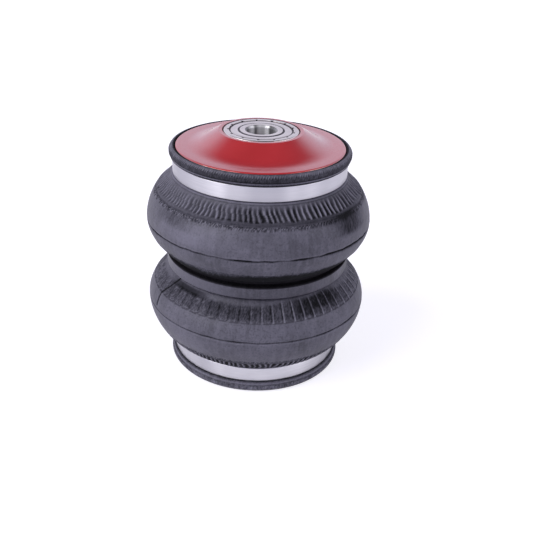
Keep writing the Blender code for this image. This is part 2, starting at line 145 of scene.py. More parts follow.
# Lip of the bellows, as (radius, depth from the plate's face, fillet)
LIP_OUTLINE = (
    (0.06135, CLEARANCE, 0.0016),
    (0.06300, 0.0026, 0.0018),
    (0.06290, 0.0051, 0.0010),
    (0.06205, 0.0055, 0.0002),
    (0.06225, 0.0061, 0.0002),
    (0.06190, 0.0064, 0.0001),
    (0.06195, 0.0073, 0.0003),
    (0.06110, BAND_FROM_FACE - CLEARANCE, 0.0003),
)

# Rows of the bellows' mesh, in millimetres from the crown, closer together where the relief is finer
SHOULDER_ROWS = [0.35, 0.7, 1.2, 2.0, 3.2, 4.6, 6.2, 8.0, 10.0, 12.0, 14.0, 16.0, 17.6, 18.8, 19.5, 20.0]
SHOULDER_ROWS += [20.5, 21.0, 21.4, 21.8, 22.2, 22.6, 23.1, 23.8, 24.8, 25.8, 26.8, 27.8, 28.8, 29.6, 30.2]
SHOULDER_ROWS += [30.6, 30.9, 31.2, 31.5, 31.8]
WAIST_ROWS = [0.35, 0.7, 1.2, 2.0, 3.2, 4.6, 6.2, 8.0, 9.6, 10.8, 11.4, 11.8, 12.15, 12.5, 12.9, 13.5, 14.2]
WAIST_ROWS += [15.0, 15.8, 16.6, 17.4, 18.2, 19.0, 19.8, 20.6, 21.3, 21.9, 22.4, 22.9, 23.4, 23.9, 24.4]

# Studio: lens and sensor in millimetres, angles in degrees
LENS = 52.50
SENSOR = 36.0
CAMERA_PLACE = (0.00713, -0.5128, 0.3297)
CAMERA_PITCH = 27.0
CAMERA_ROLL = 2.235
SUN_SPREAD = 45
FLOOR_REACH = 6.0


# Shapes


def rounded(corners, steps):
    """A closed outline of (radius, height[, fillet]) corners, with every corner filleted."""
    count = len(corners)
    line = []
    for i, corner in enumerate(corners):
        point = np.array(corner[:2], float)
        fillet = corner[2] if len(corner) > 2 else 0.0
        before = np.array(corners[i - 1][:2], float) - point
        after = np.array(corners[(i + 1) % count][:2], float) - point
        length_before, length_after = np.linalg.norm(before), np.linalg.norm(after)
        unit_before, unit_after = before / length_before, after / length_after
        between = math.acos(max(-1.0, min(1.0, float(unit_before @ unit_after))))
        if fillet <= 0 or between > math.pi - 0.02:
            line.append(tuple(point))
            continue
        setback = min(fillet / math.tan(between / 2), 0.48 * length_before, 0.48 * length_after)
        radius = setback * math.tan(between / 2)
        start, end = point + unit_before * setback, point + unit_after * setback
        middle = (start + end) / 2
        centre = point + (middle - point) / np.linalg.norm(middle - point) * math.hypot(radius, setback)
        first = math.atan2(*(start - centre)[::-1])
        turn = math.atan2(*(end - centre)[::-1]) - first
        turn = (turn + math.pi) % math.tau - math.pi
        for step in range(steps + 1):
            angle = first + turn * step / steps
            line.append(tuple(centre + radius * np.array([math.cos(angle), math.sin(angle)])))
    return line


def carried_round(line, columns):
    """(row, column) arrays of radius and height, from (radius, height) points carried round Z."""
    line = np.array(line, float)
    return np.repeat(line[:, :1], columns, 1), np.repeat(line[:, 1:2], columns, 1)


def grid_mesh(name, radius, height, sharp, tone_and_painted_light=None):
    """A closed mesh from (row, column) arrays of radius and height about Z: columns go round, rows close
    up. Edges sharper than an angle in degrees stay sharp."""
    rows, columns = radius.shape
    angle = np.arange(columns) * math.tau / columns
    points = np.stack([radius * np.cos(angle), radius * np.sin(angle), height], -1).reshape(-1, 3)
    row = np.arange(rows)[:, None]
    column = np.arange(columns)[None, :]
    here = row * columns + column
    right = row * columns + (column + 1) % columns
    below = ((row + 1) % rows) * columns + column
    across = ((row + 1) % rows) * columns + (column + 1) % columns
    faces = np.stack([here, right, across, below], -1).reshape(-1, 4)
    area = np.roll(radius[:, 0], -1) * height[:, 0] - radius[:, 0] * np.roll(height[:, 0], -1)
    if area.sum() > 0:
        faces = faces[:, ::-1]
    mesh = bpy.data.meshes.new(name)
    mesh.vertices.add(len(points))
    mesh.vertices.foreach_set("co", points.astype(np.float32).ravel())
    mesh.loops.add(faces.size)
    mesh.loops.foreach_set("vertex_index", faces.astype(np.int32).ravel())
    mesh.polygons.add(len(faces))
    mesh.polygons.foreach_set("loop_start", np.arange(0, faces.size, 4, dtype=np.int32))
    mesh.update(calc_edges=True)
    mesh.validate()
    # The tone at each vertex holds painted light, shade, highlights and reflections, along with random tone.
    if tone_and_painted_light is not None:
        painted_light_and_tone_layer = mesh.attributes.new("tone_and_painted_light", "FLOAT", "POINT")
        painted_light_and_tone_layer.data.foreach_set("value", tone_and_painted_light.astype(np.float32).ravel())
    mesh.shade_smooth()
    mesh.set_sharp_from_angle(angle=math.radians(sharp))
    piece = bpy.data.objects.new(name, mesh)
    bpy.context.scene.collection.objects.link(piece)
    return piece


def lathe(name, outline, columns, base):
    """An outline of (radius, height) points turned about Z, its heights above base."""
    radius, height = carried_round(outline, columns)
    return grid_mesh(name, radius, height + base, 30.0)


def smooth_noise(count, waves, seed):
    """A periodic wobble round a circle, from -1 to 1."""
    local = np.random.default_rng(seed)
    angle = np.arange(count) * math.tau / count
    total = np.zeros(count)
    for wave in waves:
        total += local.normal() * np.cos(wave * angle) + local.normal() * np.sin(wave * angle)
    return total / max(np.abs(total).max(), 1e-9)


def peak(off, width):
    """1 where off is 0, falling away smoothly on both sides over the width."""
    return np.exp(-((off / width) ** 2))


def window(value, low, high, soft_low, soft_high):
    """1 between low and high, easing to 0 over the soft lengths."""
    rise = np.clip((value - low) / soft_low, 0, 1)
    fall = np.clip((high - value) / soft_high, 0, 1)
    rise, fall = rise * rise * (3 - 2 * rise), fall * fall * (3 - 2 * fall)
    return rise * fall


def along(place, *marks):
    """A value that runs straight from one (place, value) mark to the next."""
    places, values = zip(*marks)
    return np.interp(place, places, values)


def polar(face):
    """A face's centre: its distance from the axis, its angle in degrees and its height."""
    x, y, z = face.center
    return math.hypot(x, y), math.degrees(math.atan2(y, x)) % 360, z


# Materials


def new_material(name):
    material = bpy.data.materials.new(name)
    material.use_nodes = True
    tree = material.node_tree
    return material, tree, tree.nodes["Principled BSDF"]


def feed(tree, socket, value):
    """Links another node's socket to this one, or sets this one to a value."""
    if isinstance(value, bpy.types.NodeSocket):
        tree.links.new(value, socket)
    else:
        socket.default_value = value


def node(tree, kind, **inputs):
    made = tree.nodes.new(kind)
    for key, value in inputs.items():
        feed(tree, made.inputs[key.replace("_", " ")], value)
    return made


def maths(tree, operation, first, second):
    made = tree.nodes.new("ShaderNodeMath")
    made.operation = operation
    feed(tree, made.inputs[0], first)
    feed(tree, made.inputs[1], second)
    return made.outputs[0]


def noise(tree, coordinate, scale, detail, roughness=0.5):
    made = node(
        tree, "ShaderNodeTexNoise", Vector=coordinate, Scale=scale, Detail=detail, Roughness=roughness
    )
    return made.outputs["Fac"]


def remap(tree, value, low, high, to_low, to_high):
    made = node(
        tree, "ShaderNodeMapRange", Value=value, From_Min=low, From_Max=high, To_Min=to_low, To_Max=to_high
    )
    return made.outputs["Result"]


def mix_colour(tree, factor, first, second):
    made = tree.nodes.new("ShaderNodeMix")
    made.data_type = "RGBA"
    for socket, value in ((0, factor), (6, first), (7, second)):
        feed(tree, made.inputs[socket], value)
    return made.outputs[2]


def tinted(colour, factor):
    return tuple(min(c * factor, 1.0) for c in colour) + (1.0,)


def bump(tree, height, strength, distance, normal=None):
    made = node(tree, "ShaderNodeBump", Strength=strength, Distance=distance, Height=height)
    if normal is not None:
        tree.links.new(normal, made.inputs["Normal"])
    return made.outputs["Normal"]


def tone_and_painted_light_attribute(tree):
    """The tone that grid_mesh stores at each vertex, with painted light and shade in it as well as random
    tone.
    """
    made = tree.nodes.new("ShaderNodeAttribute")
    made.attribute_name = "tone_and_painted_light"
    return made.outputs["Fac"]


def object_coordinate(tree):
    return tree.nodes.new("ShaderNodeTexCoord").outputs["Object"]


def cylinder_coordinate(tree, across, up):
    """Object coordinates unrolled about Z: (angle x across, height x up, radius x up)."""
    where = object_coordinate(tree)
    split = node(tree, "ShaderNodeSeparateXYZ", Vector=where)
    turn = maths(tree, "ARCTAN2", split.outputs["Y"], split.outputs["X"])
    flat = tree.nodes.new("ShaderNodeVectorMath")
    flat.operation = "MULTIPLY"
    feed(tree, flat.inputs[0], where)
    feed(tree, flat.inputs[1], (up, up, 0.0))
    reach = tree.nodes.new("ShaderNodeVectorMath")
    reach.operation = "LENGTH"
    feed(tree, reach.inputs[0], flat.outputs[0])
    join = node(
        tree,
        "ShaderNodeCombineXYZ",
        X=maths(tree, "MULTIPLY", turn, across),
        Y=maths(tree, "MULTIPLY", split.outputs["Z"], up),
        Z=reach.outputs["Value"],
    )
    return join.outputs[0]


def rubber_material(name, colour, dark=None, stipple=0.2, gloss=(0.5, 0.6), shine=0.1):
    """Moulded rubber: mottled grey with a stippled skin. Where a dark colour is given, its hollows are
    painted dark as shade and its crests pale as highlights, from the tone at each vertex."""
    material, tree, shader = new_material(name)
    where = object_coordinate(tree)
    cloud = noise(tree, where, 30.0, 4.0, 0.6)
    grain = noise(tree, where, 750.0, 2.0, 0.6)
    bloom = noise(tree, where, 210.0, 3.0, 0.65)
    streaks = noise(tree, cylinder_coordinate(tree, 26.0, 45.0), 1.0, 3.0, 0.6)
    mottle = remap(tree, cloud, 0.35, 0.65, 0.0, 1.0)
    tone = mix_colour(tree, mottle, tinted(colour, 0.68), tinted(colour, 1.16))
    for pattern, low, high, share, factor in (
        (streaks, 0.42, 0.66, 0.55, 1.40),
        (bloom, 0.50, 0.75, 0.50, 1.55),
        (grain, 0.50, 0.36, 0.50, 0.50),
    ):
        tone = mix_colour(tree, remap(tree, pattern, low, high, 0.0, share), tone, tinted(colour, factor))
    rough = remap(tree, grain, 0.3, 0.7, *gloss)
    if dark is not None:
        # Painted shade darkens the hollows and painted highlights lighten the crests.
        tone_and_painted_light = tone_and_painted_light_attribute(tree)
        tone = mix_colour(tree, remap(tree, tone_and_painted_light, 0.0, 0.6, 1.0, 0.0), tone, dark + (1.0,))
        tone = mix_colour(tree, remap(tree, tone_and_painted_light, 0.6, 1.0, 0.0, 0.8), tone, tinted(colour, 2.3))
        rough = maths(tree, "MAXIMUM", rough, remap(tree, tone_and_painted_light, 0.3, 0.6, 1.0, gloss[0]))
    shader.inputs["Specular IOR Level"].default_value = shine
    tree.links.new(tone, shader.inputs["Base Color"])
    tree.links.new(rough, shader.inputs["Roughness"])
    normal = bump(tree, grain, stipple, 0.00022)
    normal = bump(tree, bloom, 0.6, 0.0007, normal)
    tree.links.new(normal, shader.inputs["Normal"])
    return material


def red_material(name, gloss):
    """Glossy red coating with a faint orange peel."""
    material, tree, shader = new_material(name)
    where = object_coordinate(tree)
    mottle = remap(tree, noise(tree, where, 30.0, 2.0), 0.35, 0.65, 0.0, 1.0)
    tone = mix_colour(tree, mottle, (0.445, 0.015, 0.020, 1.0), (0.50, 0.020, 0.027, 1.0))
    # Painted sheen: seen edgewise, the base colour turns a darker, bluer red.
    slant = node(tree, "ShaderNodeLayerWeight", Blend=0.5)
    edgewise = remap(tree, slant.outputs["Facing"], 0.30, 0.72, 0.0, 1.0)
    tone = mix_colour(tree, edgewise, tone, (0.40, 0.018, 0.030, 1.0))
    tree.links.new(tone, shader.inputs["Base Color"])
    peel = noise(tree, where, 700.0, 2.0)
    tree.links.new(remap(tree, peel, 0.3, 0.7, 0.34, 0.42), shader.inputs["Roughness"])
    shader.inputs["Coat Weight"].default_value = gloss
    shader.inputs["Coat Roughness"].default_value = 0.2
    shader.inputs["Coat IOR"].default_value = 2.2
    shader.inputs["Specular IOR Level"].default_value = 0.3
    tree.links.new(bump(tree, peel, 0.12, 0.00006), shader.inputs["Normal"])
    return material


def metal_material(
    name, colour, rough, lines, strength=0.2, patches=(1.0, 1.0), tones=(0.9, 1.05), metallic=1.0
):
    """Bare metal: fine lines along the way it was turned, over broad patches of tone. Without patches, the
    tone at each vertex is used, with reflections painted in it. lines and patches are (across, up)."""
    material, tree, shader = new_material(name)
    fine = noise(tree, cylinder_coordinate(tree, *lines), 1.0, 4.0, 0.65)
    if patches:
        broad = noise(tree, cylinder_coordinate(tree, *patches), 1.0, 2.0, 0.5)
        broad = remap(tree, broad, 0.38, 0.62, 0.0, 1.0)
    else:
        broad = tone_and_painted_light_attribute(tree)
    tree.links.new(remap(tree, fine, 0.3, 0.7, *rough), shader.inputs["Roughness"])
    tone = mix_colour(tree, broad, tinted(colour, tones[0]), tinted(colour, tones[1]))
    tone = mix_colour(tree, remap(tree, fine, 0.35, 0.65, 0.0, 0.3), tone, tinted(colour, 0.75))
    tree.links.new(tone, shader.inputs["Base Color"])
    shader.inputs["Metallic"].default_value = metallic
    tree.links.new(bump(tree, fine, strength, 0.00004), shader.inputs["Normal"])
    return material


rubber = rubber_material(
    "scene_bellows_rubber", (0.100, 0.096, 0.127), (0.002, 0.002, 0.004), 0.5, (0.42, 0.58), 0.26
)
girdle_paint = rubber_material(
    "scene_girdle_black", (0.072, 0.069, 0.092), (0.004, 0.004, 0.006), 0.10, (0.35, 0.45), 0.25
)
seal_rubber = rubber_material("scene_seal_rubber", (0.014, 0.014, 0.015), gloss=(0.4, 0.55), shine=0.3)
# Near-black painted shadow, for the pocket's mouth, under the rim's edge and in the bearing's notches
painted_shadow = rubber_material("scene_painted_shadow", (0.016, 0.012, 0.014))
# Near-black painted shade, for the girdle ring's top and deep in the upper waist
waist_painted_shade = rubber_material("scene_waist_painted_shade", (0.012, 0.011, 0.014), gloss=(0.8, 0.9), shine=0.03)
# Dark painted shade, for the gaps and hollows between the bearing's rings and shields
groove_painted_shade = rubber_material("scene_groove_painted_shade", (0.085, 0.078, 0.095))
cage_plastic = rubber_material(
    "scene_cage_polymer", (0.25, 0.20, 0.10), stipple=0.1, gloss=(0.4, 0.5), shine=0.4
)
red = red_material("scene_red_coating", 1.0)
red_edge = red_material("scene_red_coating_edge", 0.35)
band_metal = metal_material(
    "scene_band_aluminium", (0.57, 0.56, 0.64), (0.28, 0.38), (3.0, 2500.0), 0.2, None, (0.70, 1.70)
)
steel = metal_material("scene_bearing_steel", (0.84, 0.79, 0.77), (0.28, 0.36), (2.0, 1500.0))
bore_steel = metal_material(
    "scene_bore_steel", (0.66, 0.65, 0.70), (0.26, 0.36), (40.0, 60.0), 0.1, None, (0.04, 1.5), 0.25
)


def dress(piece, materials, slot, body, *nodes):
    """Gives a piece its materials and the body that it rides on, and hides the CAD nodes that it stands for.
    slot is not used.
    """
    piece.data.materials.clear()
    for material in materials:
        piece.data.materials.append(material)
    if body:
        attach(piece, body)
    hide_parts(*nodes)


# End plates, bands and girdle ring


def rim_corners():
    """An end plate's rim from its face to the inside of its skirt, as (radius, depth, fillet)."""
    land = SKIRT_END - FLANGE_THICKNESS
    corners = [
        (END_PLATE_RADIUS, 0.0, 0.0013),
        (END_PLATE_RADIUS, FLANGE_THICKNESS, 0.0003),
        (LAND_RADIUS, FLANGE_THICKNESS, 0.0002),
    ]
    for groove in range(1, LAND_GROOVES + 1):
        middle = FLANGE_THICKNESS + land * groove / (LAND_GROOVES + 1)
        corners += [
            (LAND_RADIUS, middle - LAND_GROOVE_WIDTH / 2, 0.0001),
            (LAND_RADIUS - LAND_GROOVE_DEPTH, middle, 0.0002),
            (LAND_RADIUS, middle + LAND_GROOVE_WIDTH / 2, 0.0001),
        ]
    return corners + [(LAND_RADIUS, SKIRT_END, 0.0010), (SKIRT_INNER, SKIRT_END, 0.0005)]


def make_top_plate():
    boss_outer = POCKET_RADIUS + BOSS_RIM
    boss_top = BEARING_TOP - BOSS_BELOW_BEARING
    foot = POCKET_RADIUS + CONE_FOOT_RUN
    pocket_floor = BEARING_TOP - BEARING_WIDTH - CLEARANCE
    relief_floor = pocket_floor - POCKET_RELIEF
    hub_end = relief_floor - ROD_HUB_HEIGHT
    seal_middle = (relief_floor + hub_end) / 2
    seal_half = ROD_SEAL_SECTION / 2 + CLEARANCE
    seal_floor = BEARING_BORE - ROD_SEAL_SQUEEZE + ROD_SEAL_SECTION + CLEARANCE
    rod_bore = BEARING_BORE + CLEARANCE
    under_cone = BOSS_HEIGHT * (foot - HUB_RADIUS) / CONE_RUN - PLATE_THICKNESS
    corners = [(radius, -depth, fillet) for radius, depth, fillet in rim_corners()]
    corners += [
        (SKIRT_INNER, -PLATE_THICKNESS, 0.0010),
        (foot, -PLATE_THICKNESS, 0.0060),
        (HUB_RADIUS, under_cone, 0.0015),
        (HUB_RADIUS, hub_end, 0.0008),
        (rod_bore, hub_end, 0.0004),
        (rod_bore, seal_middle - seal_half, 0.0001),
        (seal_floor, seal_middle - seal_half, 0.0002),
        (seal_floor, seal_middle + seal_half, 0.0002),
        (rod_bore, seal_middle + seal_half, 0.0001),
        (rod_bore, relief_floor, 0.0004),
        (POCKET_RADIUS - POCKET_LEDGE, relief_floor, 0.0003),
        (POCKET_RADIUS - POCKET_LEDGE, pocket_floor, 0.0002),
        (POCKET_RADIUS, pocket_floor, 0.0003),
        (POCKET_RADIUS, boss_top, 0.0005),
        (boss_outer, boss_top, 0.0009),
        (foot, 0.0, 0.0300),
    ]
    piece = lathe("top_plate_coated", rounded(corners, 12), 256, FREE_HEIGHT)
    dress(piece, (red, painted_shadow, red_edge), "red_coating", "upper_end", "top_plate")
    # Shadow in the pocket's mouth and under the rim's edge, and less gloss on the rim's front
    for face in piece.data.polygons:
        reach, turned, height = polar(face)
        above = height - FREE_HEIGHT
        in_mouth = POCKET_RADIUS - 0.0001 < reach < POCKET_RADIUS + 0.0004 and above > 0.006
        on_edge = reach > END_PLATE_RADIUS - 0.0003 and above < -0.0007
        on_rim = reach > END_PLATE_RADIUS - 0.0013 and above > -0.0014 and 236 < turned < 302
        face.material_index = 1 if in_mouth or on_edge else 2 if on_rim else 0


def make_band(name, node_name, body, low, sheen, swing, glints):
    """Crimped band: flat across, with rolled edges and shallow flats where the crimping jaws met. Its tone
    holds painted reflections: paler or darker round it by an even swing and by (angle, width, amount)
    glints, and paler at the rolled edges."""
    columns, jaws, jaw_depth, edge_round = 384, 16, 0.00007, 0.0005
    high = low + BAND_HEIGHT
    corners = [
        (BAND_INNER, low, 0.0003),
        (BAND_OUTER, low, edge_round),
        (BAND_OUTER, high, edge_round),
        (BAND_INNER, high, 0.0003),
    ]
    line = np.array(rounded(corners, 4))
    radius, height = carried_round(line, columns)
    angle = np.arange(columns) * math.tau / columns
    flat = 0.5 + 0.5 * np.cos(jaws * angle)
    outer = (radius[:, 0] > (BAND_INNER + BAND_OUTER) / 2)[:, None]
    radius = radius - outer * jaw_depth * flat[None, :] ** 8
    sheen = sheen - swing * np.cos(5 * (angle - math.radians(276)))
    sheen += 0.05 * smooth_noise(columns, range(6, 30), 16)
    for glint_angle, width, amount in glints:
        sheen += amount * peak(np.degrees(angle) - glint_angle, width)
    # Painted highlight along the rolled edges
    rim = np.clip(1 - np.minimum(line[:, 1] - low, high - line[:, 1]) / edge_round, 0, 1)[:, None]
    piece = grid_mesh(name, radius, height, 35.0, sheen[None, :] + 0.3 * rim)
    dress(piece, (band_metal,), "band_aluminium", body, node_name)


def make_girdle_ring():
    columns = 256
    low, high = FREE_HEIGHT / 2 - GIRDLE_HEIGHT / 2, FREE_HEIGHT / 2 + GIRDLE_HEIGHT / 2
    # The dark line along the top edge is painted shade.
    edge_start = 0.0009  # top edge's dark line, below the top
    corners = [
        (GIRDLE_INNER, low, 0.0003),
        (GIRDLE_OUTER, low, 0.0008),
        (GIRDLE_OUTER, high - 0.0014),
        (GIRDLE_OUTER, high - edge_start),
        (GIRDLE_OUTER, high, 0.0008),
        (GIRDLE_INNER, high, 0.0003),
    ]
    line = np.array(rounded(corners, 6))
    radius, height = carried_round(line, columns)
    angle = np.arange(columns) * math.tau / columns
    # Painted light: paler towards the left, where the key light falls, with painted glints, over a little
    # random tone.
    tone = 0.60 + 0.10 * np.cos(angle - math.radians(215)) + 0.05 * smooth_noise(columns, range(3, 12), 5)
    for glint_angle, width, amount in ((238, 20, 0.12), (314, 12, 0.12), (331, 6, 0.25)):
        tone += amount * peak(np.degrees(angle) - glint_angle, width)
    edge = np.clip(1 - (high - edge_start - line[:, 1]) / 0.0005, 0, 1)[:, None]
    piece = grid_mesh("girdle_ring_coated", radius, height, 35.0, tone[None, :] - 0.6 * edge)
    dress(piece, (girdle_paint, waist_painted_shade), "girdle_black", "waist", "girdle_ring")
    # The top faces are painted near-black as shade.
    for face in piece.data.polygons:
        face.material_index = int(face.center.z > high - 0.0006)


# Bearing


def race(sign):
    """The balls' groove in the outer ring, where sign is 1, or in the inner one, where it is -1."""
    steps = 12
    reach = math.acos(RACE_SHOULDER / BALL_POCKET)
    angles = [reach * (2 * step / steps - 1) for step in range(steps + 1)]
    return [(BALL_PITCH + sign * BALL_POCKET * math.cos(a), BALL_POCKET * math.sin(a)) for a in angles]


def make_outer_ring():
    seat_floor = BEARING_HALF - SHIELD_ROOM
    corners = [
        (SHIELD_SEAT, -BEARING_HALF, 0.0002),
        (BEARING_OUTER, -BEARING_HALF, 0.0010),
        (BEARING_OUTER, BEARING_HALF, 0.0011),
        (SHIELD_SEAT + 0.0012, BEARING_HALF),
        (SHIELD_SEAT, BEARING_HALF),
        (SHIELD_SEAT, seat_floor, 0.0001),
        (OUTER_SHOULDER, seat_floor, 0.0001),
        *reversed(race(1)),
        (OUTER_SHOULDER, -seat_floor, 0.0001),
        (SHIELD_SEAT, -seat_floor, 0.0001),
    ]
    line = np.array(rounded(corners, 5))
    # The lip is staked over the shield at evenly spaced notches
    notches, per_notch, first_column, notch_columns, notch_depth = 13, 24, 13, 4, 0.0005
    columns = notches * per_notch
    radius, height = carried_round(line, columns)
    staked = ((np.arange(columns) - first_column) % per_notch) < notch_columns
    by_seat = (line[:, 0] < SHIELD_SEAT + 0.0004) & (line[:, 0] > SHIELD_SEAT - 0.0002)
    lip = by_seat & (np.abs(line[:, 1]) > BEARING_HALF - 0.0003)
    mask = lip[:, None] & staked[None, :]
    height = np.where(mask, height - np.sign(height) * notch_depth, height) + BEARING_MIDDLE
    piece = grid_mesh("bearing_outer_ring_ground", radius, height, 30.0)
    dress(piece, (steel, painted_shadow), "bearing_steel", "upper_end", "bearing_outer_ring")
    # The staked notches on the lip are painted near-black as shade.
    for face in piece.data.polygons:
        reach, turned, level = polar(face)
        in_notch = (turned * columns / 360 - first_column) % per_notch < notch_columns - 1
        on_lip = SHIELD_SEAT < reach < SHIELD_SEAT + 0.0011
        by_face = abs(level - BEARING_MIDDLE) > BEARING_HALF - 0.001
        face.material_index = int(in_notch and on_lip and by_face)


def make_inner_ring():
    columns, chamfer = 192, 0.0013
    corners = [
        (BEARING_BORE + chamfer, -BEARING_HALF, 0.0003),
        (INNER_SHOULDER, -BEARING_HALF, 0.0002),
        *race(-1),
        (INNER_SHOULDER, BEARING_HALF - 0.0003, 0.0001),
        (INNER_SHOULDER - 0.0004, BEARING_HALF, 0.0001),
        (BEARING_BORE + chamfer, BEARING_HALF, 0.0004),
        (BEARING_BORE, BEARING_HALF - chamfer, 0.0004),
        (BEARING_BORE, chamfer - BEARING_HALF, 0.0003),
    ]
    radius, height = carried_round(rounded(corners, 5), columns)
    # Painted reflections in the bore: bright and dark strips, as (angle, tone), repeated every half turn
    strips = [(0, 0.2), (10, 0.25), (32, 0.12), (44, 0.04), (56, 0.05), (62, 0.8), (66, 1), (74, 1)]
    strips += [(79, 0.6), (88, 0.56), (97, 0.68), (105, 0.5), (112, 0.1), (117, 0.15), (123, 0.85)]
    strips += [(132, 1), (142, 0.55), (156, 0.06), (180, 0.04)]
    sheen = along(np.degrees(np.arange(columns) * math.tau / columns) % 180, *strips)
    tone_and_painted_light = np.broadcast_to(sheen, radius.shape)
    piece = grid_mesh("bearing_inner_ring_ground", radius, height + BEARING_MIDDLE, 30.0, tone_and_painted_light)
    dress(piece, (steel, bore_steel, groove_painted_shade), "bearing_steel", "bearing_inner", "bearing_inner_ring")
    # The ring's outer edge next to the shields is painted dark as shade.
    for face in piece.data.polygons:
        reach = polar(face)[0]
        in_bore = reach < BEARING_BORE + 0.0009
        in_groove = reach > INNER_SHOULDER - 0.00035
        face.material_index = 1 if in_bore else 2 if in_groove else 0


def make_shields():
    for name, node_name, side in (
        ("bearing_shield_upper_pressed", "bearing_shield_upper", 1),
        ("bearing_shield_lower_pressed", "bearing_shield_lower", -1),
    ):
        outside = BEARING_HALF - SHIELD_RECESS
        inside = outside - SHIELD_THICKNESS - 0.0003
        inner_edge, outer_edge = INNER_SHOULDER + CLEARANCE, SHIELD_SEAT - CLEARANCE
        flat_start, flat_end = 0.0161, 0.0205
        line = [
            (inner_edge, outside - 0.0002),
            (flat_start, outside - 0.0001),
            (flat_start + 0.0002, outside, 0.0002),
            (flat_end, outside, 0.001),
            (flat_end + 0.0004, outside - 0.0003),
            (outer_edge - 0.0002, outside - 0.0004),
            (outer_edge, outside - 0.0002),
            (outer_edge, inside, 0.0001),
            (inner_edge, inside, 0.0001),
        ]
        corners = [(radius, side * height, *fillet) for radius, height, *fillet in line]
        piece = lathe(name, rounded(corners, 3), 192, BEARING_MIDDLE)
        dress(piece, (steel, groove_painted_shade), "bearing_steel", "upper_end", node_name)
        # The shield's inner edge and the hollow near its outer edge are painted dark as shade.
        for face in piece.data.polygons:
            reach = polar(face)[0]
            in_hollow = flat_end + 0.0005 < reach < outer_edge - 0.0001
            face.material_index = int(reach < flat_start or in_hollow)


# Bellows


def bulge_point(share, edge, height, fullness):
    """Radius and distance from the crown of half a convolution, 0 at the crown and 1 at its edge."""
    distance = height * np.sin(math.pi / 2 * share)
    return bulge_at(distance, edge, height, fullness), distance


def bulge_at(distance, edge, height, fullness):
    """Radius of half a convolution at a distance from its crown."""
    share = np.clip(distance / height, 0, 1)
    return edge + (CROWN_RADIUS - edge) * np.maximum(np.cos(math.pi / 2 * share), 0.0) ** fullness


def profile_rows():
    """Outer skin of one half from the lip to the waist: (radius, height above the waist, zone)."""
    lip_inner = END_PLATE_RADIUS + CLEARANCE
    corners = [
        (lip_inner, FLANGE_THICKNESS),
        (lip_inner, CLEARANCE, 0.0011),
        *LIP_OUTLINE,
        (CLAMPED_OUTER, BAND_FROM_FACE - CLEARANCE, 0.0002),
        (CLAMPED_OUTER, SKIRT_END + CLEARANCE),
    ]
    corners = [(radius, FREE_HEIGHT / 2 - depth, *fillet) for radius, depth, *fillet in corners]
    rows = [(radius, height, 0) for radius, height in rounded(corners, 3)[1:-1]]
    for distance in [SHOULDER_HEIGHT] + [d / 1000 for d in reversed(SHOULDER_ROWS)] + [0.0]:
        radius = float(bulge_at(distance, CLAMPED_OUTER, SHOULDER_HEIGHT, SHOULDER_FULLNESS))
        rows.append((radius, CROWN_FROM_MIDDLE + distance, 1))
    waist = CROWN_FROM_MIDDLE - WAIST_HALF
    for distance in [d / 1000 for d in WAIST_ROWS] + [waist]:
        radius = float(bulge_at(distance, WAIST_RADIUS, waist, WAIST_FULLNESS))
        rows.append((radius, CROWN_FROM_MIDDLE - distance, 2))
    return rows + [(WAIST_RADIUS, CLEARANCE / 2, 3)]


def inner_rows():
    """Inner skin from the waist back up to the lip, a wall's thickness inside the outer one."""
    face = FREE_HEIGHT / 2
    waist_inner = WAIST_RADIUS - BELLOWS_WALL
    rows = [(waist_inner, CLEARANCE / 2), (waist_inner, WAIST_HALF)]
    path = []
    for share in (0.7, 0.35):
        radius, distance = bulge_point(share, WAIST_RADIUS, CROWN_FROM_MIDDLE - WAIST_HALF, WAIST_FULLNESS)
        path.append((float(radius), CROWN_FROM_MIDDLE - float(distance)))
    for share in (0.0, 0.3, 0.6, 0.85):
        radius, distance = bulge_point(share, CLAMPED_OUTER, SHOULDER_HEIGHT, SHOULDER_FULLNESS)
        path.append((float(radius), CROWN_FROM_MIDDLE + float(distance)))
    for i, (radius, height) in enumerate(path):
        before, after = path[max(i - 1, 0)], path[min(i + 1, len(path) - 1)]
        length = math.hypot(after[0] - before[0], after[1] - before[1])
        normal = ((after[1] - before[1]) / length, -(after[0] - before[0]) / length)
        rows.append((radius - normal[0] * BELLOWS_WALL, height - normal[1] * BELLOWS_WALL))
    return rows + [
        (CLAMPED_INNER, face - SKIRT_END - CLEARANCE),
        (CLAMPED_INNER, face - FLANGE_THICKNESS - CLEARANCE),
        (END_PLATE_RADIUS + CLEARANCE, face - FLANGE_THICKNESS - CLEARANCE),
    ]


